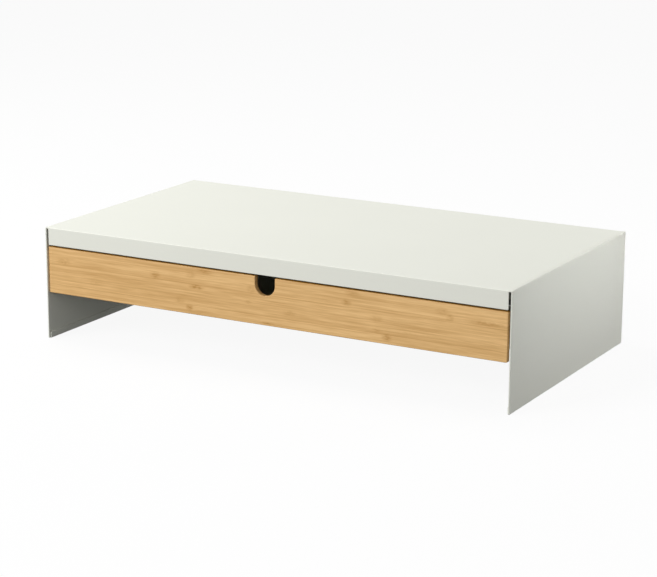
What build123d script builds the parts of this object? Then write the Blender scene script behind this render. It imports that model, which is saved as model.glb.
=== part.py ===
from build123d import *
import os

# Monitor stand with drawer. Millimetres, +Z up, +X along the width, the drawer opens towards -Y.
# The origin is at the middle of the footprint, on the desk.

# Stand, outside sizes
stand_width = 470
stand_depth = 252
stand_height = 106

# Stand sheet and its bends
shell_sheet = 1.2
shell_inside_radius = 0.8
flange_height = 16.5
flange_side_gap = 2.2
hem_height = 6
hem_gap = 0.2
hem_corner = 0.9
foot_corner = 1.5
flange_corner = 1

# Hat-section stiffener under the top
stiffener_sheet = 1
stiffener_crown = 36
stiffener_flange = 12
stiffener_drop = 10
stiffener_end_gap = 6

# Drawer front
board_thickness = 5
board_height = 43.5
board_top_gap = 1.5
board_side_gap = 2.2
board_edge = 0.6
notch_width = 20
notch_depth = 17

# Drawer tray
tray_sheet = 0.8
tray_inside_radius = 0.8
tray_side_gap = 14.3
tray_drop_under_board_top = 2
tray_above_board_foot = 1.5
tray_back_gap = 9.8
lip_reach = 8
lip_setback = 3
corner_tab = 14
corner_relief = 2.5
tray_hem = 5
tray_hem_gap = 0.2
tray_notch_margin = 4

# Runner channels on the legs
runner_sheet = 1
runner_reach = 13
runner_inner_height = 12
runner_under_lip = 7.2
runner_front_gap = 6
runner_back_gap = 3.8
runner_inside_radius = 0.6
runner_corner = 2
tab_side_gap = 1
tab_relief = 2.5

# Fixing of the runners: weld studs and thin nuts
stud_count = 2
stud_end_margin = 36
stud_diameter = 4
stud_hole_gap = 0.2
nut_across_flats = 7
nut_thickness = 2.2
stud_past_nut = 0.4
nut_thread_gap = 0.05

# Plastic glides, sliders and their push rivets, and the space kept where the drawer meets a stop
running_gap = 0.1
guide_gap = 0.2
stop_gap = 0.1
glide_inset = 1.9
glide_length = 22
glide_lead_in = 2
slider_length = 28
slider_past_tray = 1
slider_nut_gap = 0.8
slider_plate_drop = 2
rivet_diameter = 4
rivet_hole_gap = 0.05
rivet_head_diameter = 6
rivet_head_height = 1.2
rivet_tip_gap = 0.4
rivet_ceiling = 1.6
counterbore_gap = 0.3

# Rubber bumpers in the runners' end tabs
bumper_head_diameter = 8
bumper_neck_diameter = 4
bumper_neck_gap = 0.05
bumper_barb_diameter = 6
bumper_barb_height = 2

# Screws of the drawer front
screw_diameter = 3.5
screw_hole_gap = 0.1
screw_head_diameter = 7
screw_head_height = 2
screw_grip = 3.8
screw_pilot_depth = 4.2
screw_outer_x = 200
screw_inner_x = 65
screw_edge_margin = 9

# Worked out from the sizes above
front_y = -stand_depth / 2
back_y = stand_depth / 2
leg_inner_x = stand_width / 2 - shell_sheet
top_underside_z = stand_height - shell_sheet
shell_outer_radius = shell_inside_radius + shell_sheet
flange_half = leg_inner_x - flange_side_gap
hem_thickness = 2 * shell_sheet + hem_gap

board_width = 2 * (leg_inner_x - board_side_gap)
board_top_z = stand_height - flange_height - board_top_gap
board_foot_z = board_top_z - board_height
board_back_y = front_y + board_thickness

tray_half = leg_inner_x - tray_side_gap
tray_inner_half = tray_half - tray_sheet
tray_front_y = board_back_y
tray_back_y = back_y - shell_sheet - tray_back_gap
tray_foot_z = board_foot_z + tray_above_board_foot
tray_top_z = board_top_z - tray_drop_under_board_top
lip_underside_z = tray_top_z - tray_sheet
tray_bend = tray_inside_radius + tray_sheet

runner_foot_z = lip_underside_z - runner_under_lip - runner_sheet
runner_floor_z = runner_foot_z + runner_sheet
runner_ceiling_z = runner_floor_z + runner_inner_height
runner_middle_z = (runner_floor_z + runner_ceiling_z) / 2
runner_tip_x = leg_inner_x - runner_reach
runner_web_x = leg_inner_x - runner_sheet
runner_front_y = board_back_y + runner_front_gap
runner_back_y = back_y - shell_sheet - runner_back_gap
tab_face_y = runner_back_y - runner_sheet

stud_tip_x = runner_web_x - nut_thickness - stud_past_nut
slider_outer_x = stud_tip_x - slider_nut_gap
slider_back_y = tray_back_y + slider_past_tray
slider_front_y = slider_back_y - slider_length
glide_back_y = runner_front_y + glide_inset + glide_length
glide_middle_y = glide_back_y - glide_length / 2
drawer_travel = slider_front_y - glide_back_y - stop_gap
slider_middle_y = slider_back_y - slider_length / 2
lip_tip_x = tray_half + lip_reach
lip_middle_x = (runner_tip_x + lip_tip_x) / 2
bumper_x = (runner_tip_x + slider_outer_x) / 2


def group(parts):
    """Separate solids of one kind, kept together as one node."""
    return Compound(children=list(parts))


def bent_sheet(plane, corners, thickness, inside_radius, length):
    """A bent sheet, of which the corners are those of its middle line, centred on the plane."""
    middle_line = FilletPolyline(*corners, radius=inside_radius + thickness / 2)
    return extrude(plane * trace(middle_line, line_width=thickness), amount=length / 2, both=True)


def block(x, y, z):
    """A block between two places on each axis."""
    size = [max(pair) - min(pair) for pair in (x, y, z)]
    centre = [sum(pair) / 2 for pair in (x, y, z)]
    return Pos(*centre) * Box(*size)


def rod(start, direction, radius, length):
    """A round rod from a point, along a direction."""
    return extrude(Plane(start, z_dir=direction) * Circle(radius), amount=length)


def edges_at(part, axis, places):
    """The edges along an axis that pass through these places of the two other axes."""
    found = part.edges().filter_by(axis)
    return [edge for edge in found if any(matches(edge.center(), place) for place in places)]


def matches(point, place):
    """Whether a point has the coordinates that a place names."""
    return all(abs(getattr(point, name) - value) < 0.01 for name, value in place.items())


def hem(side):
    """The closed hem at the foot of a leg: the sheet folded flat on its inner face."""
    middle_x = side * (stand_width - hem_thickness) / 2
    fold = Pos(middle_x, hem_height / 2) * Rectangle(hem_thickness, hem_height)
    fold = fillet(fold.vertices().group_by(Axis.Y)[0], hem_corner)
    slit = Pos(middle_x, (hem_height + shell_sheet) / 2) * Rectangle(hem_gap, hem_height - shell_sheet)
    return extrude(Plane.XZ * (fold - slit), amount=stand_depth / 2, both=True)


def rounded_corner(y, z, radius, out_y, out_z):
    """What is cut away to round a corner of a plate that stands across X."""
    corner = Pos(y - out_y * radius / 2, z - out_z * radius / 2) * Rectangle(radius, radius)
    disc = Pos(y - out_y * radius, z - out_z * radius) * Circle(radius)
    return extrude(Plane.YZ * (corner - disc), amount=stand_width, both=True)


def shell_flange(out_y):
    """The flange along the front or back edge of the top, with its bend."""
    edge_y = out_y * (stand_depth - shell_sheet) / 2
    panel_z = stand_height - shell_sheet / 2
    inboard_y = out_y * (stand_depth / 2 - 2 * shell_outer_radius)
    corners = [(inboard_y, panel_z), (edge_y, panel_z), (edge_y, stand_height - flange_height)]
    flange = bent_sheet(Plane.YZ, corners, shell_sheet, shell_inside_radius, 2 * flange_half)
    lower = [{"Z": stand_height - flange_height, "X": x} for x in (-flange_half, flange_half)]
    return fillet(edges_at(flange, Axis.Y, lower), flange_corner)


def top_shell():
    """The bent sheet: top, legs, foot hems and the two flanges."""
    leg_x = (stand_width - shell_sheet) / 2
    panel_z = stand_height - shell_sheet / 2
    hem_middle_z = (hem_height + shell_sheet) / 2
    corners = [(-leg_x, hem_middle_z), (-leg_x, panel_z), (leg_x, panel_z), (leg_x, hem_middle_z)]
    shell = bent_sheet(Plane.XZ, corners, shell_sheet, shell_inside_radius, stand_depth)
    for side in (-1, 1):
        shell += hem(side)
    for out_y in (-1, 1):
        edge_y = out_y * stand_depth / 2
        bend_y = edge_y - out_y * shell_outer_radius
        shell -= rounded_corner(edge_y, 0, foot_corner, out_y, -1)
        shell -= block((-flange_half, flange_half), (edge_y, bend_y), (top_underside_z, stand_height))
        shell += shell_flange(out_y)
    return shell


def top_stiffener():
    """Hat-section strip under the top, between the legs."""
    low_z = top_underside_z - stiffener_drop + stiffener_sheet / 2
    high_z = top_underside_z - stiffener_sheet / 2
    crown_y = (stiffener_crown - stiffener_sheet) / 2
    edge_y = stiffener_crown / 2 + stiffener_flange
    corners = [(-edge_y, high_z), (-crown_y, high_z), (-crown_y, low_z)]
    corners += [(crown_y, low_z), (crown_y, high_z), (edge_y, high_z)]
    length = 2 * (leg_inner_x - stiffener_end_gap)
    return bent_sheet(Plane.YZ, corners, stiffener_sheet, stiffener_sheet, length)


def stud_places():
    """The Y of each stud of one runner, evenly spaced."""
    first = runner_front_y + stud_end_margin
    last = runner_back_y - stud_end_margin
    return [first + (last - first) * index / (stud_count - 1) for index in range(stud_count)]


def right_runner():
    """Folded channel on the right leg, open towards the drawer, with an end tab for the bumper."""
    web_x = leg_inner_x - runner_sheet / 2
    floor_z = runner_floor_z - runner_sheet / 2
    ceiling_z = runner_ceiling_z + runner_sheet / 2
    section = [(runner_tip_x, floor_z), (web_x, floor_z), (web_x, ceiling_z), (runner_tip_x, ceiling_z)]
    runner = bent_sheet(Plane.XZ, section, runner_sheet, runner_inside_radius, stand_depth)
    length = (runner_front_y, runner_back_y - tab_relief)
    runner &= block((runner_tip_x, leg_inner_x), length, (runner_foot_z, runner_ceiling_z + runner_sheet))
    tips = [{"X": runner_tip_x, "Y": runner_front_y}]
    runner = fillet(edges_at(runner, Axis.Z, tips), runner_corner)
    tab_y = runner_back_y - runner_sheet / 2
    tab_height = runner_inner_height - 2 * (runner_inside_radius + tab_side_gap)
    plan = [(web_x, tab_y - 2 * tab_relief), (web_x, tab_y), (runner_tip_x, tab_y)]
    tab_plane = Plane.XY.offset(runner_middle_z)
    runner += bent_sheet(tab_plane, plan, runner_sheet, runner_inside_radius, tab_height)
    hole = rod((bumper_x, runner_back_y, runner_middle_z), (0, -1, 0), bumper_neck_diameter / 2, runner_sheet)
    runner -= hole
    rivet_hole = rivet_diameter / 2 + rivet_hole_gap
    runner -= rod((lip_middle_x, glide_middle_y, runner_foot_z), (0, 0, 1), rivet_hole, runner_sheet)
    stud_hole = stud_diameter / 2 + stud_hole_gap
    for y in stud_places():
        runner -= rod((leg_inner_x, y, runner_middle_z), (-1, 0, 0), stud_hole, runner_sheet)
    return runner


def right_stud(y):
    """Weld stud on the leg, through the runner's hole and the nut."""
    return rod((leg_inner_x, y, runner_middle_z), (-1, 0, 0), stud_diameter / 2, leg_inner_x - stud_tip_x)


def right_runner_studs():
    """The weld studs of the right runner."""
    return group(right_stud(y) for y in stud_places())


def right_nut(y):
    """Thin hexagon nut, against the runner."""
    seat = Plane((runner_web_x, y, runner_middle_z), z_dir=(-1, 0, 0))
    nut = extrude(seat * RegularPolygon(nut_across_flats / 2, 6, major_radius=False), amount=nut_thickness)
    thread = stud_diameter / 2 + nut_thread_gap
    return nut - rod((runner_web_x, y, runner_middle_z), (-1, 0, 0), thread, nut_thickness)


def right_runner_nuts():
    """The nuts on those studs."""
    return group(right_nut(y) for y in stud_places())


def push_rivet(x, y, z, length):
    """Push rivet that points up from its seat at height z."""
    head = rod((x, y, z), (0, 0, -1), rivet_head_diameter / 2, rivet_head_height)
    return head + rod((x, y, z), (0, 0, 1), rivet_diameter / 2, length)


def right_front_glide():
    """Plastic block in the runner's front end. Its rib guides the tray's side wall."""
    top_z = lip_underside_z - running_gap
    rib_x = tray_half + guide_gap
    outer_x = runner_web_x - runner_inside_radius
    corner = tray_bend + running_gap
    outline = Polyline(
        (rib_x, runner_foot_z),
        (runner_tip_x, runner_foot_z),
        (runner_tip_x, runner_floor_z),
        (outer_x, runner_floor_z),
        (outer_x, top_z),
        (rib_x + corner, top_z),
        (rib_x, top_z - corner),
        close=True,
    )
    glide = extrude(Plane.XZ.offset(-glide_middle_y) * make_face(outline), amount=glide_length / 2, both=True)
    glide = fillet(glide.faces().sort_by(Axis.Z)[-1].edges().filter_by(Axis.X), glide_lead_in)
    hole_radius = rivet_diameter / 2 + rivet_hole_gap
    hole_depth = lip_underside_z - running_gap - rivet_ceiling - runner_floor_z
    return glide - rod((lip_middle_x, glide_middle_y, runner_floor_z), (0, 0, 1), hole_radius, hole_depth)


def right_glide_rivet():
    """Push rivet up through the runner's floor into the front glide."""
    hole_top_z = lip_underside_z - running_gap - rivet_ceiling
    return push_rivet(lip_middle_x, glide_middle_y, runner_foot_z, hole_top_z - rivet_tip_gap - runner_foot_z)


def right_rear_bumper():
    """Rubber bumper: a round head, a neck through the runner's end tab, and a barb behind it."""
    head_length = tab_face_y - slider_back_y - stop_gap
    axis_point = (bumper_x, tab_face_y, runner_middle_z)
    head = rod(axis_point, (0, -1, 0), bumper_head_diameter / 2, head_length)
    neck_radius = bumper_neck_diameter / 2 - bumper_neck_gap
    neck = rod(axis_point, (0, 1, 0), neck_radius, runner_sheet + bumper_barb_height)
    barb = rod((bumper_x, runner_back_y, runner_middle_z), (0, 1, 0), bumper_barb_diameter / 2, bumper_barb_height)
    return head + neck + barb


def screw_places():
    """X and Z of each screw of the drawer front: two high ones near its ends, two low ones by the notch."""
    low_z = tray_foot_z + screw_edge_margin
    high_z = tray_top_z - screw_edge_margin - tray_hem
    return [(side * x, z) for side in (-1, 1) for x, z in ((screw_outer_x, high_z), (screw_inner_x, low_z))]


def notch_cut(margin, top_z, depth_y):
    """The finger notch as a cutter: round at the bottom and open at the top."""
    radius = notch_width / 2 + margin
    centre_z = board_top_z - notch_depth + notch_width / 2
    round_end = Pos(0, centre_z) * Circle(radius)
    slot = Pos(0, (centre_z + top_z) / 2) * Rectangle(2 * radius, top_z - centre_z)
    return extrude(Plane.XZ * (round_end + slot), amount=-depth_y[0]) & block(
        (-radius, radius), depth_y, (centre_z - radius, top_z)
    )


def drawer_front():
    """Bamboo board with its finger notch and blind screw holes in the back."""
    half = board_width / 2
    board = block((-half, half), (front_y, board_back_y), (board_foot_z, board_top_z))
    board -= notch_cut(0, board_top_z + notch_depth, (front_y, board_back_y))
    board = chamfer(board.faces().sort_by(Axis.Y)[0].edges(), board_edge)
    hole = screw_diameter / 2 + screw_hole_gap
    for x, z in screw_places():
        board -= rod((x, board_back_y, z), (0, -1, 0), hole, screw_pilot_depth)
    return board


def drawer_tray():
    """Folded tray: side walls with outward lips, end walls with hems, and welded corner tabs."""
    sheet = tray_sheet
    wall_x = tray_half - sheet / 2
    foot_z = tray_foot_z + sheet / 2
    lip_z = tray_top_z - sheet / 2
    sides = [(-lip_tip_x, lip_z), (-wall_x, lip_z), (-wall_x, foot_z)]
    sides += [(wall_x, foot_z), (wall_x, lip_z), (lip_tip_x, lip_z)]
    tray = bent_sheet(Plane.XZ, sides, sheet, tray_inside_radius, 2 * stand_depth)
    wide = (-lip_tip_x, lip_tip_x)
    high = (tray_foot_z, tray_top_z)
    tray &= block(wide, (tray_front_y + tray_bend, tray_back_y - tray_bend), high)
    for side in (-1, 1):
        lip_x = (side * (tray_half + tray_inside_radius), side * lip_tip_x)
        lip_z_range = (lip_underside_z, tray_top_z)
        tray -= block(lip_x, (tray_front_y, tray_front_y + tray_bend + lip_setback), lip_z_range)
        lip_rear = (tray_back_y - 2 * tray_bend, tray_back_y)
        tray += block(lip_x, lip_rear, lip_z_range)
    for out_y, end_y in ((-1, tray_front_y), (1, tray_back_y)):
        tray += end_wall(out_y, end_y)
    tray -= notch_cut(tray_notch_margin, board_top_z, (tray_front_y, tray_front_y + tray_bend + 2 * sheet))
    for x, z in screw_places():
        tray -= rod((x, tray_front_y, z), (0, 1, 0), screw_diameter / 2 + screw_hole_gap, sheet)
    for side in (-1, 1):
        place = (side * lip_middle_x, slider_middle_y, lip_underside_z)
        tray -= rod(place, (0, 0, 1), rivet_diameter / 2 + rivet_hole_gap, sheet)
    return tray


def end_wall(out_y, end_y):
    """Front or back wall of the tray: its bend from the bottom, its hem, and its two corner tabs."""
    sheet = tray_sheet
    wall_y = end_y - out_y * sheet / 2
    foot_z = tray_foot_z + sheet / 2
    bend_start_y = end_y - out_y * 2 * tray_bend
    fold_half = tray_inner_half - corner_relief
    lower = [(bend_start_y, foot_z), (wall_y, foot_z), (wall_y, tray_top_z)]
    wall = bent_sheet(Plane.YZ, lower, sheet, tray_inside_radius, 2 * fold_half)
    tab_x = tray_inner_half - sheet / 2
    tab_y = end_y - out_y * corner_tab
    plan = [(-tab_x, tab_y), (-tab_x, wall_y), (tab_x, wall_y), (tab_x, tab_y)]
    wall_foot_z = tray_foot_z + corner_relief
    middle_z = (wall_foot_z + tray_top_z) / 2
    height = tray_top_z - wall_foot_z
    wall += bent_sheet(Plane.XY.offset(middle_z), plan, sheet, tray_inside_radius, height)
    for side in (-1, 1):
        tab_top = (side * (tray_inner_half - tray_bend), side * tray_half)
        cut_start_y = end_y - out_y * tray_inside_radius
        wall -= block(tab_top, (cut_start_y, tab_y), (tray_top_z - 2 * tray_bend, tray_top_z))
    hem_y = end_y - out_y * (sheet + (sheet + tray_hem_gap) / 2)
    hem_half = tray_inner_half - corner_tab
    fold = Pos(hem_y, tray_top_z - tray_hem / 2) * Rectangle(sheet + tray_hem_gap, tray_hem)
    slit_y = end_y - out_y * (sheet + tray_hem_gap / 2)
    fold -= Pos(slit_y, tray_top_z - (tray_hem + sheet) / 2) * Rectangle(tray_hem_gap, tray_hem - sheet)
    return wall + extrude(Plane.YZ * fold, amount=hem_half, both=True)


def front_screw(x, z):
    """Pan-head screw through the tray's front wall into the board."""
    seat_y = tray_front_y + tray_sheet
    head = rod((x, seat_y, z), (0, 1, 0), screw_head_diameter / 2, screw_head_height)
    head = chamfer(head.edges().filter_by(GeomType.CIRCLE).sort_by(Axis.Y)[-1], screw_head_height / 2)
    return head + rod((x, seat_y, z), (0, -1, 0), screw_diameter / 2, tray_sheet + screw_grip)


def right_rear_slider():
    """Plastic slider clipped over the lip's rear end. Its plate runs along the runner's edge."""
    low_z = runner_floor_z + guide_gap
    high_z = runner_ceiling_z - guide_gap
    plate_x = tray_half + running_gap / 2
    inner_x = runner_tip_x - guide_gap
    corner = tray_bend
    outline = Polyline(
        (plate_x, low_z - slider_plate_drop),
        (inner_x, low_z - slider_plate_drop),
        (inner_x, low_z),
        (slider_outer_x, low_z),
        (slider_outer_x, high_z),
        (inner_x, high_z),
        (inner_x, tray_top_z + running_gap / 2),
        (lip_tip_x + running_gap / 2, tray_top_z + running_gap / 2),
        (lip_tip_x + running_gap / 2, lip_underside_z - running_gap / 2),
        (plate_x + corner, lip_underside_z - running_gap / 2),
        (plate_x, lip_underside_z - running_gap / 2 - corner),
        close=True,
    )
    slider = extrude(Plane.XZ.offset(-slider_middle_y) * make_face(outline), amount=slider_length / 2, both=True)
    bore = rivet_diameter / 2 + rivet_hole_gap
    axis_x, axis_y = lip_middle_x, slider_middle_y
    slider -= rod((axis_x, axis_y, low_z), (0, 0, 1), bore, high_z - low_z - rivet_ceiling)
    sink = rivet_head_diameter / 2 + counterbore_gap
    return slider - rod((axis_x, axis_y, low_z), (0, 0, 1), sink, rivet_head_height + counterbore_gap)


def right_slider_rivet():
    """Push rivet up through the slider's lower jaw and the lip, with its head sunk in the jaw."""
    seat_z = runner_floor_z + guide_gap + rivet_head_height + counterbore_gap
    tip_z = runner_ceiling_z - guide_gap - rivet_ceiling - rivet_tip_gap
    return push_rivet(lip_middle_x, slider_middle_y, seat_z, tip_z - seat_z)


nodes = {
    "top_shell": top_shell(),
    "top_stiffener": top_stiffener(),
    "drawer_tray": drawer_tray(),
    "drawer_front": drawer_front(),
    "front_screws": group(front_screw(x, z) for x, z in screw_places()),
}
for name, maker in (
    ("runner", right_runner),
    ("runner_studs", right_runner_studs),
    ("runner_nuts", right_runner_nuts),
    ("front_glide", right_front_glide),
    ("glide_rivet", right_glide_rivet),
    ("rear_bumper", right_rear_bumper),
    ("rear_slider", right_rear_slider),
    ("slider_rivet", right_slider_rivet),
):
    nodes[f"right_{name}"] = maker()
    nodes[f"left_{name}"] = mirror(nodes[f"right_{name}"], about=Plane.YZ)

print(f"drawer travel {drawer_travel:.2f} mm")

os.makedirs("parts", exist_ok=True)
for name, shape in nodes.items():
    export_step(shape, f"parts/{name}.step")
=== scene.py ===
import math

import bpy
import numpy as np
from mathutils import Matrix, Vector


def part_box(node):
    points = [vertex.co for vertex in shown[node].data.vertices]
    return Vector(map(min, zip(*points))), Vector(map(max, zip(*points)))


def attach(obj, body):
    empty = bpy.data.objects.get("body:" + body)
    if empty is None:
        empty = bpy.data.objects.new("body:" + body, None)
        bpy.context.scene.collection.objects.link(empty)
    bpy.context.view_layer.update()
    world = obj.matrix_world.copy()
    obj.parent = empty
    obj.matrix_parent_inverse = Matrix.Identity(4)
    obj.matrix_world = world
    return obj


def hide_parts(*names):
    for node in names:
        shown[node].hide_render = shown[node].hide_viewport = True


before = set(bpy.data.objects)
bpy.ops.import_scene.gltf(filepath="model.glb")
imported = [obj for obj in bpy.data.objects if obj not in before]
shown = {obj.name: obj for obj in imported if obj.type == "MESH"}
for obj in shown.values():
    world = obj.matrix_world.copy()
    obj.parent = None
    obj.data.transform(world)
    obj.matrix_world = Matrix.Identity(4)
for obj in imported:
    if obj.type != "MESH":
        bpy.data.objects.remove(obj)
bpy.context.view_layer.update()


# Camera. It stands in front of the stand, to its right and a little above it, with a long lens, as in the
# photograph. The angles come from the edges of the stand in the photograph.
camera_turn = math.radians(29.03)
camera_rise = math.radians(14.47)
camera_roll = math.radians(0.263)
camera_range = 1.9378
camera_aim = Vector((-0.0064, 0, 0.049))

towards_camera = Vector((
    math.sin(camera_turn) * math.cos(camera_rise),
    -math.cos(camera_turn) * math.cos(camera_rise),
    math.sin(camera_rise),
))
level_right = Vector((0, 0, 1)).cross(towards_camera).normalized()
camera_turned = Matrix((level_right, towards_camera.cross(level_right), towards_camera)).transposed()
camera_data = bpy.data.cameras.new("camera")
camera_data.lens = 114.59
camera_data.sensor_width = 36
camera_data.clip_end = 50
camera = bpy.data.objects.new("camera", camera_data)
camera.matrix_world = (
    Matrix.Translation(camera_aim + towards_camera * camera_range)
    @ camera_turned.to_4x4()
    @ Matrix.Rotation(camera_roll, 4, "Z")
)
bpy.context.scene.collection.objects.link(camera)
bpy.context.scene.camera = camera


# Studio. Soft boxes above, in front and beside the stand, on a plain white floor that keeps a pale shadow.
# The floor and the sky show white to the camera and in reflections, and light the stand less than that.
def srgb(code):
    """A colour written as sRGB hex, as the linear red, green, blue and alpha that the shaders take."""
    part = np.array([int(code[place:place + 2], 16) for place in (1, 3, 5)]) / 255
    linear = np.where(part <= 0.04045, part / 12.92, ((part + 0.055) / 1.055) ** 2.4)
    return (*linear, 1)


def add(tree, kind, links=None, **settings):
    """Adds a node. The settings are its own, and the links give its sockets a value or another's output."""
    made = tree.nodes.new(kind)
    for name, value in settings.items():
        setattr(made, name, value)
    for socket, value in (links or {}).items():
        if isinstance(value, bpy.types.NodeSocket):
            tree.links.new(value, made.inputs[socket])
        else:
            made.inputs[socket].default_value = value
    return made


def soft_box(name, place, aim, width, height, power, spread=180):
    """A rectangular area light at one point, turned to face another, with its beam's spread in degrees."""
    data = bpy.data.lights.new(name, "AREA")
    data.shape = "RECTANGLE"
    data.size = width
    data.size_y = height
    data.energy = power
    data.spread = math.radians(spread)
    lamp = bpy.data.objects.new(name, data)
    lamp.location = place
    lamp.rotation_euler = (Vector(aim) - Vector(place)).to_track_quat("-Z", "Y").to_euler()
    bpy.context.scene.collection.objects.link(lamp)


def seen_directly(tree):
    """1 for what the camera sees, also in a reflection or through glass, and 0 for what only lights things."""
    path = add(tree, "ShaderNodeLightPath")
    seen = path.outputs["Is Camera Ray"]
    for ray in ("Is Glossy Ray", "Is Transmission Ray"):
        seen = add(tree, "ShaderNodeMath", {0: seen, 1: path.outputs[ray]}, operation="MAXIMUM").outputs[0]
    return seen


def blank_material(title):
    """A new material and its node tree, with nothing in it yet."""
    made = bpy.data.materials.new(title)
    made.use_nodes = True
    made.node_tree.nodes.clear()
    return made, made.node_tree


soft_box("box in front, left", (-1.5, -2.1, 1.1), (0, 0, 0.1), 1.6, 1.2, 56.7)
soft_box("fill in front, right", (1.6, -1.4, 0.6), (0, 0, 0.1), 0.8, 0.8, 3.5)
soft_box("box above, left", (-0.9, 0.2, 1.4), (0, 0, 0.1), 0.9, 0.9, 10)
soft_box("box behind, right", (0.7, 0.6, 0.28), (0.235, 0.05, 0.1), 0.3, 0.2, 1.6)
soft_box("strip beside, right", (1.35, 0.15, 0.22), (0.235, 0.05, 0.22), 0.3, 0.12, 0.16, 26)

world = bpy.data.worlds.new("studio")
world.use_nodes = True
sky = world.node_tree
sky.nodes.clear()
dim = add(sky, "ShaderNodeBackground", {"Color": srgb("#ffffff"), "Strength": 0.36})
bright = add(sky, "ShaderNodeBackground", {"Color": srgb("#ffffff"), "Strength": 1})
mixed = add(sky, "ShaderNodeMixShader", {0: seen_directly(sky), 1: dim.outputs[0], 2: bright.outputs[0]})
add(sky, "ShaderNodeOutputWorld", {"Surface": mixed.outputs[0]})
bpy.context.scene.world = world

floor_half = 8
floor_mesh = bpy.data.meshes.new("floor")
floor_mesh.from_pydata([(x, y, 0) for x, y in ((-1, -1), (1, -1), (1, 1), (-1, 1))], [], [(0, 1, 2, 3)])
floor_mesh.transform(Matrix.Diagonal((floor_half, floor_half, 1, 1)))
floor = bpy.data.objects.new("floor", floor_mesh)
bpy.context.scene.collection.objects.link(floor)

# Paper that glows a little less than white to the eye, so that the rest of its white is the lamps' own light,
# which keeps the stand's shadow. What it throws back on the stand is that of a mid grey.
paper, tree = blank_material("white studio paper")
bounce = add(tree, "ShaderNodeBsdfDiffuse", {"Color": srgb("#5c5c5a")})
lit = add(tree, "ShaderNodeBsdfDiffuse", {"Color": srgb("#fbfbfb")})
white = add(tree, "ShaderNodeEmission", {"Color": srgb("#ffffff"), "Strength": 1})
pale = add(tree, "ShaderNodeMixShader", {0: 0.92, 1: lit.outputs[0], 2: white.outputs[0]})
mixed = add(tree, "ShaderNodeMixShader", {0: seen_directly(tree), 1: bounce.outputs[0], 2: pale.outputs[0]})
add(tree, "ShaderNodeOutputMaterial", {"Surface": mixed.outputs[0]})
floor_mesh.materials.append(paper)

bpy.context.scene.view_settings.view_transform = "Standard"


# Top shell. One sheet of steel, 1.2 mm thick, bent down at both sides into the legs and at the front and back
# into short flanges, with a flat hem folded in at the foot of each leg. Powder coated after bending, warm
# white. Its bends are tighter than on the CAD solid, as crisp as they look in the photograph.
def rounded_outline(corners, steps=6):
    """A closed outline from corners (u, v, radius). A corner becomes the arc that touches both its sides:
    its centre lies on the line that halves the corner, radius over the sine of the half angle away."""
    corners = np.array(corners, float)
    place, radius = corners[:, :2], corners[:, 2]
    before = np.roll(place, 1, 0) - place
    after = np.roll(place, -1, 0) - place
    before /= np.linalg.norm(before, axis=1, keepdims=True)
    after /= np.linalg.norm(after, axis=1, keepdims=True)
    half = np.arccos(np.clip((before * after).sum(1), -1, 1)) / 2
    middle = before + after
    middle /= np.maximum(np.linalg.norm(middle, axis=1, keepdims=True), 1e-12)
    centre = place + middle * (radius / np.sin(half))[:, None]
    start = place + before * (radius / np.tan(half))[:, None]
    share = np.linspace(0, 1, steps + 1)
    turn = np.pi - 2 * half
    from_start = start - centre
    side = np.sign(before[:, 0] * after[:, 1] - before[:, 1] * after[:, 0])
    angle = -side[:, None] * turn[:, None] * share
    arc = np.stack([
        from_start[:, :1] * np.cos(angle) - from_start[:, 1:] * np.sin(angle),
        from_start[:, :1] * np.sin(angle) + from_start[:, 1:] * np.cos(angle),
    ], 2) + centre[:, None]
    outline = [arc[k] if radius[k] > 0 else place[k:k + 1] for k in range(len(corners))]
    return np.concatenate(outline)


def bent_strip(path, sheet, inside, outside, edge=0.0004):
    """Corners of a bent sheet's section: its middle line moved half a sheet to each side along the line that
    halves each bend, with its radius inside and outside the bends, and its own edges eased."""
    path = np.array(path, float)
    run = np.diff(path, axis=0)
    run /= np.linalg.norm(run, axis=1, keepdims=True)
    left = np.stack([-run[:, 1], run[:, 0]], 1)
    first = np.concatenate([left[:1], left])
    last = np.concatenate([left, left[-1:]])
    away = first + last
    away /= (1 + (first * last).sum(1))[:, None]
    turn = np.zeros(len(path))
    turn[1:-1] = np.sign(run[:-1, 0] * run[1:, 1] - run[:-1, 1] * run[1:, 0])
    inner = np.where(turn > 0, inside, outside)
    outer = np.where(turn > 0, outside, inside)
    inner[[0, -1]] = outer[[0, -1]] = edge
    one = np.column_stack([path + away * sheet / 2, inner])
    other = np.column_stack([path - away * sheet / 2, outer])
    return np.concatenate([other, one[::-1]])


def lofted(rings, closed=False):
    """The faces of a solid from its rings, an array of (ring, point, xyz). Ring i and ring i + 1 are joined by
    four-sided faces, and the first and last rings are filled, or joined to each other where it is closed."""
    count, size = rings.shape[:2]
    ring = np.arange(count if closed else count - 1)[:, None]
    here = np.arange(size)[None]
    there = (here + 1) % size
    above = (ring + 1) % count * size
    ring = ring * size
    sides = np.stack([ring + here, ring + there, above + there, above + here], 2).reshape(-1, 4)
    ends = [] if closed else [np.arange(size)[::-1], np.arange(size) + (count - 1) * size]
    return rings.reshape(-1, 3), [*map(list, sides), *map(list, ends)]


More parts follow.
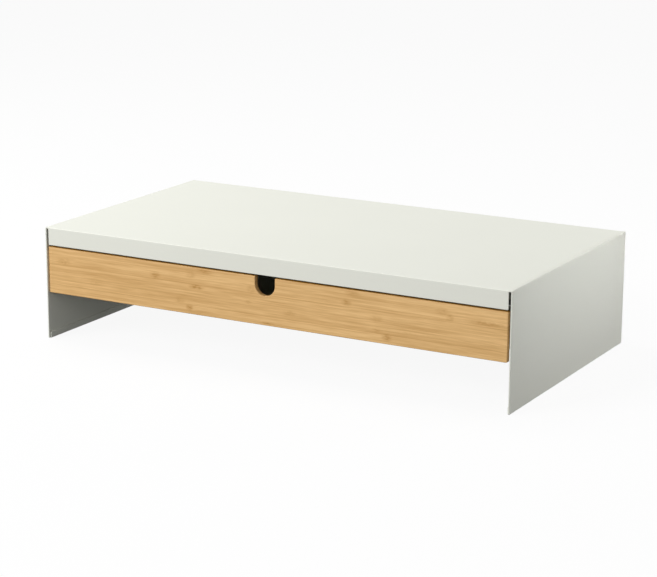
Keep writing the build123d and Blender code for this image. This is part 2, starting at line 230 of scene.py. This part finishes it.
def carried(outline, low, high, axis, ease=0.0003, stations=(), follow=None):
    """A closed outline carried along an axis, and its two ends. At each end the outline shrinks along its own
    normals by ease times (1 - cosine) while it moves by ease times sine, a quarter circle, times follow. The
    stations are further places for a ring along the way, and those within the eased ends are left out."""
    outline = np.asarray(outline, float)
    nxt, prv = np.roll(outline, -1, 0), np.roll(outline, 1, 0)
    if ((outline[:, 0] * nxt[:, 1] - nxt[:, 0] * outline[:, 1]).sum()) < 0:
        outline = outline[::-1]
        nxt, prv = np.roll(outline, -1, 0), np.roll(outline, 1, 0)
        follow = None if follow is None else follow[::-1]
    a = (outline - prv) / np.linalg.norm(outline - prv, axis=1, keepdims=True)
    b = (nxt - outline) / np.linalg.norm(nxt - outline, axis=1, keepdims=True)
    inward = np.stack([-(a + b)[:, 1], (a + b)[:, 0]], 1) / (1 + (a * b).sum(1))[:, None]
    if follow is not None:
        inward = inward * follow[:, None]
    quarter = np.linspace(0, np.pi / 2, 5)
    to_end, narrower = ease * (1 - np.sin(quarter)), ease * (1 - np.cos(quarter))
    middle = np.array(sorted(place for place in stations if low + ease < place < high - ease), float)
    place = np.concatenate([low + to_end[::-1], middle, high - to_end])
    shrink = np.concatenate([narrower[::-1], 0 * middle, narrower])
    rings = outline[None] + inward[None] * shrink[:, None, None]
    along = np.broadcast_to(place[:, None, None], rings.shape[:2] + (1,))
    order = {"X": (2, 0, 1), "Y": (0, 2, 1)}[axis]
    points, faces = lofted(np.concatenate([rings, along], 2)[:, :, order])
    return points, [face[::-1] for face in faces] if axis == "Y" else faces


def mirrored(solid):
    """The same solid on the other side of the middle, its faces turned so that they still point out."""
    points, faces = solid
    return points * (-1, 1, 1), [face[::-1] for face in faces]


def corner_rise(place, half, corner):
    """How far a rounded lower corner lifts an edge that runs from -half to half: the corner's radius less the
    root of its square less the square of how far the place lies past the corner's start."""
    past_start = np.clip(np.abs(place) - (half - corner), 0, corner)
    return corner - np.sqrt(corner ** 2 - past_start ** 2)


def make_piece(name, solids, material, body, nodes, sharp=40):
    """One object from one or more solids, each a pair of points and faces, in place of the CAD nodes."""
    points, faces, total = [], [], 0
    for solid_points, solid_faces in solids:
        points.append(solid_points)
        faces += [[int(index) + total for index in face] for face in solid_faces]
        total += len(solid_points)
    mesh = bpy.data.meshes.new(name)
    mesh.from_pydata(np.concatenate(points), [], faces)
    mesh.polygons.foreach_set("use_smooth", np.ones(len(mesh.polygons), bool))
    mesh.set_sharp_from_angle(angle=math.radians(sharp))
    mesh.update()
    mesh.materials.append(material)
    piece = bpy.data.objects.new(name, mesh)
    bpy.context.scene.collection.objects.link(piece)
    shading = piece.modifiers.new("flat faces stay flat", "WEIGHTED_NORMAL")
    shading.keep_sharp = True
    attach(piece, body)
    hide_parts(*nodes)


shell_low, shell_high = (np.array(corner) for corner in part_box("top_shell"))
sheet = 0.0012
bend_inside, bend_outside = 0.0001, 0.0008
gap_over_board, slot_beside_flange = 0.0015, 0.0022
flange_foot_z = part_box("drawer_front")[1].z + gap_over_board
leg_x = shell_high[0] - sheet
flange_end_x = leg_x - slot_beside_flange
front_y, back_y, top_z = shell_low[1], shell_high[1], shell_high[2]

foot_inside, foot_outside = 0.0005, 0.0006
leg = rounded_outline([
    (flange_end_x, top_z - sheet, 0),
    (leg_x, top_z - sheet, bend_inside),
    (leg_x, 0, foot_inside),
    (leg_x + sheet, 0, foot_outside),
    (leg_x + sheet, top_z, bend_outside),
    (flange_end_x, top_z, 0),
])
foot_corner = 0.0015
foot_steps = foot_corner * (1 - np.cos(np.linspace(0.3, np.pi / 2, 8)))
foot_stations = np.concatenate([front_y + foot_steps, back_y - foot_steps])
leg_points, leg_faces = carried(leg, front_y, back_y, "Y", stations=foot_stations)
leg_points[:, 2] = np.maximum(leg_points[:, 2], corner_rise(leg_points[:, 1], back_y, foot_corner))

panel = rounded_outline(bent_strip([
    (front_y + sheet / 2, flange_foot_z),
    (front_y + sheet / 2, top_z - sheet / 2),
    (back_y - sheet / 2, top_z - sheet / 2),
    (back_y - sheet / 2, flange_foot_z),
], sheet, bend_inside, bend_outside))
# Only the flanges' ends are eased, so that the top meets the legs without a groove: the share grows from 0 to 1
# through the bend, outside and inside.
below_top = top_z - panel[:, 1]
outer_side = np.abs(panel[:, 0]) > back_y - bend_outside - 1e-6
on_flange = np.clip(np.where(outer_side, below_top / bend_outside, (below_top - sheet) / bend_inside), 0, 1)
flange_corner = 0.001
corner_steps = flange_end_x - flange_corner * (1 - np.cos(np.linspace(0.5, np.pi / 2, 6)))
panel_points, panel_faces = carried(
    panel, -flange_end_x, flange_end_x, "X", stations=[*corner_steps, *-corner_steps], follow=on_flange
)
flange_edge_z = flange_foot_z + corner_rise(panel_points[:, 0], flange_end_x, flange_corner)
panel_points[:, 2] = np.maximum(panel_points[:, 2], flange_edge_z)

# Polyester powder coating, baked on: a fine orange peel that softens its sheen, and a faint warm-cool drift of
# tone. The real peel is about 1 mm across, drawn here at 2.5 mm so that it shows in the render.
powder, tree = blank_material("powder coated steel, warm white")
place = add(tree, "ShaderNodeTexCoord").outputs["Object"]
drift = add(tree, "ShaderNodeTexNoise", {"Vector": place, "Scale": 6, "Detail": 2})
peel = add(tree, "ShaderNodeTexNoise", {"Vector": place, "Scale": 1 / 0.0025, "Detail": 2, "Roughness": 0.4})
grit = add(tree, "ShaderNodeTexNoise", {"Vector": place, "Scale": 1 / 0.0008, "Detail": 1})
tone = add(tree, "ShaderNodeMix", {
    "Factor": drift.outputs["Fac"], "A": srgb("#e7e8de"), "B": srgb("#ebece2"),
}, data_type="RGBA")
dull = add(tree, "ShaderNodeMapRange", {"Value": grit.outputs["Fac"], "To Min": 0.64, "To Max": 0.76})
bump = add(tree, "ShaderNodeBump", {"Height": peel.outputs["Fac"], "Strength": 0.25, "Distance": 0.00012})
coat = add(tree, "ShaderNodeBsdfPrincipled", {
    "Roughness": dull.outputs[0], "Normal": bump.outputs[0], "IOR": 1.5,
})
tree.links.new(tone.outputs["Result"], coat.inputs["Base Color"])
add(tree, "ShaderNodeOutputMaterial", {"Surface": coat.outputs[0]})

# The hem's inner layer. It is cut back at its ends, so that it doesn't show beside the leg's front edge.
hem_back = 0.0018
hem_height = 0.006
hem_x = leg_x - 0.0013
hem = rounded_outline([
    (hem_x, 0, 0.0008),
    (leg_x + 0.0002, 0, 0.0005),
    (leg_x - 0.0001, hem_height, 0.0004),
    (hem_x, hem_height, 0.0004),
])
hem_solid = carried(hem, front_y + hem_back, back_y - hem_back, "Y")
leg_solid = (leg_points, leg_faces)
make_piece(
    "top_shell_sheet",
    [(panel_points, panel_faces), leg_solid, mirrored(leg_solid), hem_solid, mirrored(hem_solid)], powder,
    "stand", ["top_shell"],
)


# Stiffener. A hat-section strip of 1 mm steel, spot welded under the thin top before coating, so that the top
# carries a screen without sagging.
hat_low, hat_high = (np.array(corner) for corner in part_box("top_stiffener"))
hat_sheet = 0.001
hat_bend_inside, hat_bend_outside = 0.001, 0.002
crown_half = 0.018
crown_y = crown_half - hat_sheet / 2
hat_z = (hat_low[2] + hat_sheet / 2, hat_high[2] - hat_sheet / 2)
hat = rounded_outline(bent_strip([
    (hat_low[1], hat_z[1]), (-crown_y, hat_z[1]), (-crown_y, hat_z[0]),
    (crown_y, hat_z[0]), (crown_y, hat_z[1]), (hat_high[1], hat_z[1]),
], hat_sheet, hat_bend_inside, hat_bend_outside))
make_piece(
    "top_stiffener_hat", [carried(hat, hat_low[0], hat_high[0], "X")], powder,
    "stand", ["top_stiffener"],
)


# Drawer front. A board of laminated bamboo, 5 mm thick: wide strips pressed flat side by side, planed, with a
# finger notch milled in the upper edge, eased edges, and a clear matt lacquer.
board_low, board_high = (np.array(corner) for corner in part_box("drawer_front"))
notch_half, notch_depth = 0.010, 0.017
notch_radius = notch_half * 0.99
notch_foot_z = board_high[2] - notch_depth
arris = 0.0006
corner = 0.0008
board = rounded_outline([
    (board_low[0], board_low[2], corner),
    (board_high[0], board_low[2], corner),
    (board_high[0], board_high[2], corner),
    (notch_half, board_high[2], corner),
    (notch_half, notch_foot_z, notch_radius),
    (-notch_half, notch_foot_z, notch_radius),
    (-notch_half, board_high[2], corner),
    (board_low[0], board_high[2], corner),
], steps=20)

# Bamboo, carbonised to a light caramel and planed flat: strips about 19 mm wide with a thin glue line between
# them, short dark fibres less than 1 mm apart, and the speckled scars of the culm nodes. Matt lacquer, so the
# fibres show a little in its sheen. The finest fibres are 0.3 mm wide, drawn here at 0.7 mm so that they show.
bamboo, tree = blank_material("laminated bamboo, matt lacquer")
place = add(tree, "ShaderNodeTexCoord").outputs["Object"]
axes = add(tree, "ShaderNodeSeparateXYZ", {0: place})
strip_height = 0.0193
glue_line_z = board_high[2] - 0.0157
strips = add(tree, "ShaderNodeMath", {0: axes.outputs["Z"], 1: glue_line_z}, operation="SUBTRACT")
strips = add(tree, "ShaderNodeMath", {0: strips.outputs[0], 1: strip_height}, operation="DIVIDE")
strip = add(tree, "ShaderNodeMath", {0: strips.outputs[0]}, operation="FLOOR")
chance = add(tree, "ShaderNodeTexWhiteNoise", {"W": strip.outputs[0]}, noise_dimensions="1D")
shift = add(tree, "ShaderNodeMath", {0: chance.outputs["Value"], 1: 3.7}, operation="MULTIPLY")
along = add(tree, "ShaderNodeMath", {0: axes.outputs["X"], 1: shift.outputs[0]}, operation="ADD")
own_place = add(tree, "ShaderNodeCombineXYZ", {0: along.outputs[0], 1: axes.outputs["Y"], 2: axes.outputs["Z"]})
paler = add(tree, "ShaderNodeMapRange", {
    "Value": axes.outputs["X"], "From Min": -0.23, "From Max": 0.23, "To Min": 0.97, "To Max": 1.05,
})
strip_tone = add(tree, "ShaderNodeMapRange", {
    "Value": chance.outputs["Value"], "To Min": 0.985, "To Max": 1.015,
})
shade = add(tree, "ShaderNodeMath", {0: paler.outputs[0], 1: strip_tone.outputs[0]}, operation="MULTIPLY")
shade = shade.outputs[0]
# Each layer of fibres: the mm that it repeats in along and across the strip, and the shades it lies between.
for run, pitch, dark, pale in (
    (140, 7, 0.94, 1.05),
    (60, 3, 0.91, 1.05),
    (200, 2.2, 0.92, 1.06),
    (45, 1.1, 0.88, 1.06),
    (16, 0.7, 0.90, 1.05),
):
    laid = add(tree, "ShaderNodeMapping", {
        "Vector": own_place.outputs[0], "Scale": (1000 / run, 1000 / pitch, 1000 / pitch),
    })
    fibres = add(tree, "ShaderNodeTexNoise", {
        "Vector": laid.outputs[0], "Scale": 1, "Detail": 1, "Roughness": 0.4,
    })
    layer = add(tree, "ShaderNodeMapRange", {
        "Value": fibres.outputs["Fac"], "From Min": 0.25, "From Max": 0.75, "To Min": dark, "To Max": pale,
    })
    shade = add(tree, "ShaderNodeMath", {0: shade, 1: layer.outputs[0]}, operation="MULTIPLY").outputs[0]
# The glue line: the last 0.7 mm on each side of the joint between two strips gets darker towards it.
in_strip = add(tree, "ShaderNodeMath", {0: strips.outputs[0]}, operation="FRACT")
from_joint = add(tree, "ShaderNodeMath", {0: in_strip.outputs[0], 1: 0.5}, operation="SUBTRACT")
from_joint = add(tree, "ShaderNodeMath", {0: from_joint.outputs[0]}, operation="ABSOLUTE")
glue = add(tree, "ShaderNodeMapRange", {
    "Value": from_joint.outputs[0], "From Min": 0.5 - 0.0007 / strip_height, "From Max": 0.5,
    "To Min": 1, "To Max": 0.84,
})
shade = add(tree, "ShaderNodeMath", {0: shade, 1: glue.outputs[0]}, operation="MULTIPLY").outputs[0]
# Scars of the culm nodes and two dark streaks, as the board in the photograph has them: the middle in x and z,
# half the length, half the height, all in mm, and how much darker than the wood around.
scars = np.array([
    (-215, 75.5, 9, 4, 0.17), (-179, 61.7, 9, 4, 0.10), (-114, 75.5, 6, 3.5, 0.24), (-76.6, 80.5, 6, 3.5, 0.14),
    (-61.6, 85, 9, 2.5, 0.22), (-71, 70, 8, 2.5, 0.34), (-78, 50.5, 4, 3, 0.36), (-88, 55.5, 6, 3, 0.12),
    (-14, 75.5, 5, 4, 0.16), (-17, 63.5, 4, 1.5, 0.16), (25, 59, 7, 3, 0.14), (81, 76, 5, 3, 0.26),
    (87, 85, 8, 3, 0.16), (110, 65.5, 7, 3, 0.15), (111, 56, 6, 3, 0.12), (120, 50.5, 5, 3.5, 0.30),
    (172, 80.5, 8, 3.5, 0.14), (179, 76, 4, 3.5, 0.18), (214, 75.5, 20, 2.2, 0.22), (3, 46.7, 7, 1.2, 0.25),
    (-130, 60, 30, 1.5, 0.05), (140, 57, 45, 2, 0.06),
])
scar = None
for x, z, half_x, half_z, depth in scars:
    grown = add(tree, "ShaderNodeMapping", {
        "Vector": place, "Location": (-x / half_x, 0, -z / half_z), "Scale": (1000 / half_x, 0, 1000 / half_z),
    })
    off = add(tree, "ShaderNodeVectorMath", {0: grown.outputs[0]}, operation="LENGTH")
    mark = add(tree, "ShaderNodeMapRange", {
        "Value": off.outputs["Value"], "From Min": 0.1, "From Max": 1.3, "To Min": 1.3 * depth, "To Max": 0,
    }, interpolation_type="SMOOTHSTEP").outputs[0]
    if scar is not None:
        mark = add(tree, "ShaderNodeMath", {0: scar, 1: mark}, operation="MAXIMUM").outputs[0]
    scar = mark
# Within a scar the fibres turn towards the eye and show as short specks, 4 mm long and 1.3 mm wide.
speck_place = add(tree, "ShaderNodeMapping", {"Vector": place, "Scale": (1000 / 4, 0, 1000 / 1.3)})
speck = add(tree, "ShaderNodeTexNoise", {"Vector": speck_place.outputs[0], "Scale": 1, "Detail": 2})
specked = add(tree, "ShaderNodeMapRange", {
    "Value": speck.outputs["Fac"], "From Min": 0.3, "From Max": 0.7, "To Min": 0.2, "To Max": 1.1,
})
scar = add(tree, "ShaderNodeMath", {0: scar, 1: specked.outputs[0]}, operation="MULTIPLY")
unscarred = add(tree, "ShaderNodeMath", {0: 1.0, 1: scar.outputs[0]}, operation="SUBTRACT")
shade = add(tree, "ShaderNodeMath", {0: shade, 1: unscarred.outputs[0]}, operation="MULTIPLY").outputs[0]
# Painted shade: the upper and lower edges are made darker and redder, standing in for the shade under the
# flange.
board_middle_z = (board_low[2] + board_high[2]) / 2
board_half_height = board_high[2] - board_middle_z
from_middle = add(tree, "ShaderNodeMath", {0: axes.outputs["Z"], 1: board_middle_z}, operation="SUBTRACT")
from_middle = add(tree, "ShaderNodeMath", {0: from_middle.outputs[0]}, operation="ABSOLUTE")
painted_edge_shade = add(tree, "ShaderNodeMapRange", {
    "Value": from_middle.outputs[0],
    "From Min": board_half_height - arris, "From Max": board_half_height - 0.0001, "To Min": 1, "To Max": 0.6,
})
shade = add(tree, "ShaderNodeMath", {0: shade, 1: painted_edge_shade.outputs[0]}, operation="MULTIPLY").outputs[0]
# The darker the wood, the redder: pale straw in the soft wood, brown in fibres and scars.
paleness = add(tree, "ShaderNodeMapRange", {"Value": shade, "From Min": 0.5, "From Max": 1.09})
toned = add(tree, "ShaderNodeMix", {
    "Factor": paleness.outputs[0], "A": srgb("#a8741d"), "B": srgb("#f1c688"),
}, data_type="RGBA")
sheen = add(tree, "ShaderNodeMapRange", {
    "Value": shade, "From Min": 0.8, "From Max": 1.05, "To Min": 0.52, "To Max": 0.4,
})
relief = add(tree, "ShaderNodeBump", {"Height": shade, "Strength": 0.1, "Distance": 0.0002})
wood = add(tree, "ShaderNodeBsdfPrincipled", {
    "Roughness": sheen.outputs[0], "Normal": relief.outputs[0], "IOR": 1.5,
})
tree.links.new(toned.outputs["Result"], wood.inputs["Base Color"])
add(tree, "ShaderNodeOutputMaterial", {"Surface": wood.outputs[0]})

make_piece(
    "drawer_front_board", [carried(board, board_low[1], board_high[1], "Y", ease=arris)], bamboo,
    "drawer", ["drawer_front"],
)


# Drawer tray. One sheet of 0.8 mm steel folded into a tray, with lips out at its sides and hems along its ends,
# powder coated like the shell. Its lips lie on the front glides and carry the rear sliders.
shown["drawer_tray"].data.materials.clear()
shown["drawer_tray"].data.materials.append(powder)


# Runners. Folded 1 mm steel channels, bright zinc plated after folding, one on each leg, open to the drawer.
# Zinc gives a soft grey mirror with faint clouds and the drawn lines of the sheet along its length.
zinc, tree = blank_material("zinc plated steel")
place = add(tree, "ShaderNodeTexCoord").outputs["Object"]
cloud = add(tree, "ShaderNodeTexNoise", {"Vector": place, "Scale": 1 / 0.006, "Detail": 3})
drawn_place = add(tree, "ShaderNodeMapping", {"Vector": place, "Scale": (2500, 60, 2500)})
drawn = add(tree, "ShaderNodeTexNoise", {"Vector": drawn_place.outputs[0], "Scale": 1, "Detail": 1})
tone = add(tree, "ShaderNodeMix", {
    "Factor": cloud.outputs["Fac"], "A": srgb("#b9bcc0"), "B": srgb("#d2d4d6"),
}, data_type="RGBA")
dull = add(tree, "ShaderNodeMapRange", {"Value": cloud.outputs["Fac"], "To Min": 0.28, "To Max": 0.42})
bump = add(tree, "ShaderNodeBump", {"Height": drawn.outputs["Fac"], "Strength": 0.15, "Distance": 0.00005})
metal = add(tree, "ShaderNodeBsdfPrincipled", {
    "Metallic": 1, "Roughness": dull.outputs[0], "Normal": bump.outputs[0],
})
tree.links.new(tone.outputs["Result"], metal.inputs["Base Color"])
add(tree, "ShaderNodeOutputMaterial", {"Surface": metal.outputs[0]})
for side in ("left", "right"):
    shown[f"{side}_runner"].data.materials.clear()
    shown[f"{side}_runner"].data.materials.append(zinc)


# Studs of the runners. M4 weld studs of steel, zinc plated, two for each runner. They are welded to the legs'
# inner faces, so that no fastener shows outside.
def turned(profile, steps=32):
    """Rings of a turned shape: ring i is the circle of radius i at height i of the profile, point k of it at
    the angle of k steps of a full turn, from the first axis towards the second."""
    radius, height = np.array(profile, float).T
    angle = np.arange(steps) * 2 * np.pi / steps
    circle = np.stack([np.cos(angle), np.sin(angle), 0 * angle], 1)
    return radius[:, None, None] * circle + height[:, None, None] * np.array([0, 0, 1])


def stood(rings, place, axis):
    """The same rings in the object's frame: their height runs along an axis from a place, and their two other
    directions are the next axes in turn, so that the shape isn't mirrored."""
    axis = np.array(axis, float)
    first = np.roll(axis, 1)
    return rings @ np.array([first, np.cross(axis, first), axis]) + np.array(place, float)


stud_radius = 0.002


def stud_rings(length):
    """A threaded stud: its radius at height h and angle a is 2 mm less 0.15 mm times (1 - the cosine of a turn
    per pitch of 0.7 mm less a). Over the last 0.5 mm it also narrows, by 0.35 mm at the tip."""
    pitch, half_depth, tip, levels, steps = 0.0007, 0.00015, 0.0005, 41, 24
    height = np.linspace(0, length, levels)
    rings = turned(np.stack([np.full(levels, stud_radius), height], 1), steps)
    angle = np.arange(steps) * 2 * np.pi / steps
    depth = half_depth * (1 - np.cos(2 * np.pi * height[:, None] / pitch - angle))
    narrow = np.clip(height - (length - tip), 0, None)[:, None]
    rings[..., :2] *= ((stud_radius - depth - narrow * 0.7) / stud_radius)[..., None]
    return rings


def both_places(box, radius):
    """The middles of the first and the last of two like solids along Y, at the middle height of their node."""
    low, high = (np.array(corner) for corner in box)
    middle_z = (low[2] + high[2]) / 2
    return [(low[1] + radius, middle_z), (high[1] - radius, middle_z)]


for side, towards in (("left", 1), ("right", -1)):
    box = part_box(f"{side}_runner_studs")
    length = box[1].x - box[0].x
    foot_x = -towards * max(abs(box[0].x), abs(box[1].x))
    solids = [
        lofted(stood(stud_rings(length), (foot_x, y, z), (towards, 0, 0)))
        for y, z in both_places(box, stud_radius)
    ]
    make_piece(f"{side}_studs_threaded", solids, zinc, "stand", [f"{side}_runner_studs"])


# Nuts of the runners. Thin hexagon nuts of cold formed steel, 7 mm across flats, zinc plated, their corners
# turned off at both faces. They hold the runners on the studs.
def nut_rings(height, flats, bore):
    """A hexagon nut, in mm: at angle a the outside is half the flats over the cosine of a taken to the nearest
    flat, cut off by a cone that opens by 0.6 mm over the first and last 0.35 mm. The bore closes the rings."""
    steps = 48
    along = np.array([0, 0, 0.09, 0.18, 0.27, 0.35])
    open_by = np.array([-0.35, 0, 0.14, 0.28, 0.42, 0.6])
    cone = np.concatenate([flats / 2 + open_by, flats / 2 + open_by[::-1]]) / 1000
    level = np.concatenate([along, height - along[::-1]]) / 1000
    rings = turned(np.stack([np.ones(len(level)), level], 1), steps)
    angle = np.arange(steps) * 2 * np.pi / steps
    hexagon = flats / 2000 / np.cos(np.mod(angle, np.pi / 3) - np.pi / 6)
    rings[..., :2] *= np.minimum(hexagon, cone[:, None])[..., None]
    hole = turned([(bore / 2000, height / 1000), (bore / 2000, 0)], steps)
    return np.concatenate([rings, hole])


for side, towards in (("left", 1), ("right", -1)):
    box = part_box(f"{side}_runner_nuts")
    height = (box[1].x - box[0].x) * 1000
    seat_x = -towards * max(abs(box[0].x), abs(box[1].x))
    solids = [
        lofted(stood(nut_rings(height, flats=7, bore=4.1), (seat_x, y, z), (towards, 0, 0)), closed=True)
        for y, z in both_places(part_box(f"{side}_runner_studs"), stud_radius)
    ]
    make_piece(f"{side}_nuts_hexagon", solids, zinc, "stand", [f"{side}_runner_nuts"], sharp=25)


# Screws of the drawer front. Four 3.5 mm pan-head wood screws with a cross recess, zinc plated, driven from
# inside through the tray's front wall into the bamboo.
def screw_rings():
    """A pan head on its shank, turned, with a cross pressed into the head: within 0.45 mm of either middle line
    and 1.9 mm of the centre, the face goes down by 1.1 mm with walls 0.2 mm wide."""
    turn = np.linspace(0, np.pi / 2, 7)[1:]
    head = np.stack([2.3 + 1.2 * np.cos(turn), 0.8 + 1.2 * np.sin(turn)], 1)
    face = np.stack([np.linspace(2.2, 0.1, 22), np.full(22, 2.0)], 1)
    shank = [(0.3, -4.6), (1.0, -4.2), (1.75, -3.4), (1.75, 0), (3.5, 0), (3.5, 0.8)]
    rings = turned(np.concatenate([shank, head, face]) / 1000, 64)
    across = np.abs(rings[..., :2]) * 1000
    wall = np.clip((0.55 - across.min(2)) / 0.2, 0, 1) * np.clip((2.0 - across.max(2)) / 0.2, 0, 1)
    rings[..., 2] -= 0.0011 * wall * (rings[..., 2] > 0.0019)
    return rings


screw_low, screw_high = (np.array(corner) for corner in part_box("front_screws"))
head_radius, head_height = 0.0035, 0.002
outer_x, inner_x = screw_high[0] - head_radius, 0.065
high_z, low_z = screw_high[2] - head_radius, screw_low[2] + head_radius
make_piece(
    "front_screws_pan_head", [
        lofted(stood(screw_rings(), (x, screw_high[1] - head_height, z), (0, 1, 0)))
        for x, z in ((-outer_x, high_z), (-inner_x, low_z), (inner_x, low_z), (outer_x, high_z))
    ], zinc, "drawer", ["front_screws"],
)


# Glides and sliders. Acetal, injection moulded, natural white: slippery, slightly waxy, with a fine
# spark-eroded grain, so that the lips of the tray run on it without noise.
def moulded(title, code, low, high):
    """A moulded plastic or rubber: one colour all through, with the mould's grain in its bump and roughness."""
    made, tree = blank_material(title)
    place = add(tree, "ShaderNodeTexCoord").outputs["Object"]
    spark = add(tree, "ShaderNodeTexNoise", {"Vector": place, "Scale": 1 / 0.0006, "Detail": 2})
    flow = add(tree, "ShaderNodeTexNoise", {"Vector": place, "Scale": 1 / 0.012, "Detail": 1})
    tint = add(tree, "ShaderNodeMapRange", {"Value": flow.outputs["Fac"], "To Min": 0.96, "To Max": 1.02})
    colour = add(tree, "ShaderNodeVectorMath", {0: srgb(code)[:3], "Scale": tint.outputs[0]}, operation="SCALE")
    dull = add(tree, "ShaderNodeMapRange", {"Value": spark.outputs["Fac"], "To Min": low, "To Max": high})
    bump = add(tree, "ShaderNodeBump", {"Height": spark.outputs["Fac"], "Strength": 0.1, "Distance": 0.00003})
    plastic = add(tree, "ShaderNodeBsdfPrincipled", {
        "Base Color": colour.outputs[0], "Roughness": dull.outputs[0], "Normal": bump.outputs[0],
    })
    add(tree, "ShaderNodeOutputMaterial", {"Surface": plastic.outputs[0]})
    return made


acetal = moulded("moulded acetal, natural white", "#dcdcd6", 0.3, 0.42)
for name in ("left_front_glide", "right_front_glide", "left_rear_slider", "right_rear_slider"):
    shown[name].data.materials.clear()
    shown[name].data.materials.append(acetal)


# Push rivets. Black nylon, injection moulded, pushed up through the runner's floor into each front glide, and
# through the lower jaw of each rear slider into the tray's lip.
nylon = moulded("moulded black nylon", "#2a2a2a", 0.4, 0.55)
rivet_head_radius, rivet_stem_radius, rivet_tip_radius = 0.0030, 0.0020, 0.0016
rivet_dome, rivet_head_height, rivet_tip = 0.0009, 0.0012, 0.0004
for side in ("left", "right"):
    for kind, body in (("glide", "stand"), ("slider", "drawer")):
        low, high = (np.array(corner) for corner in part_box(f"{side}_{kind}_rivet"))
        middle = (low + high) / 2
        turn = np.linspace(0.12, np.pi / 2, 8)
        dome = np.stack([rivet_head_radius * np.sin(turn), rivet_dome * (1 - np.cos(turn))], 1)
        top = high[2] - low[2]
        stem = [
            (rivet_head_radius, rivet_head_height), (rivet_stem_radius, rivet_head_height),
            (rivet_stem_radius, top - rivet_tip), (rivet_tip_radius, top),
        ]
        rivet = stood(turned(np.concatenate([dome, stem])), (middle[0], middle[1], low[2]), (0, 0, 1))
        make_piece(
            f"{side}_{kind}_rivet_domed", [lofted(rivet)], nylon, body, [f"{side}_{kind}_rivet"],
        )


# Bumpers. Black rubber, moulded, pulled through the runners' end tabs by their barbs. They take the last touch
# of the drawer when it closes.
rubber = moulded("moulded black rubber", "#1c1c1c", 0.7, 0.85)
nose_radius, nose_round = 0.0040, 0.0012
neck_radius, neck_length = 0.00195, 0.001
barb_radius, barb_tip_radius = 0.0030, 0.0016
nose_end = 0.0039
neck_end = nose_end + neck_length
for side in ("left", "right"):
    low, high = (np.array(corner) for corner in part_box(f"{side}_rear_bumper"))
    middle = (low + high) / 2
    turn = np.linspace(0, np.pi / 2, 8)
    nose = np.stack([nose_radius - nose_round * (1 - np.sin(turn)), nose_round * (1 - np.cos(turn))], 1)
    barb_end = high[1] - low[1]
    barb = [
        (nose_radius, nose_end), (neck_radius, nose_end), (neck_radius, neck_end),
        (barb_radius, neck_end), (0.0029, neck_end + 0.0004),
        (0.0020, barb_end - 0.0003), (barb_tip_radius, barb_end),
    ]
    bumper = stood(turned(np.concatenate([nose, barb])), (middle[0], low[1], middle[2]), (0, 1, 0))
    make_piece(f"{side}_bumper_moulded", [lofted(bumper)], rubber, "stand", [f"{side}_rear_bumper"])
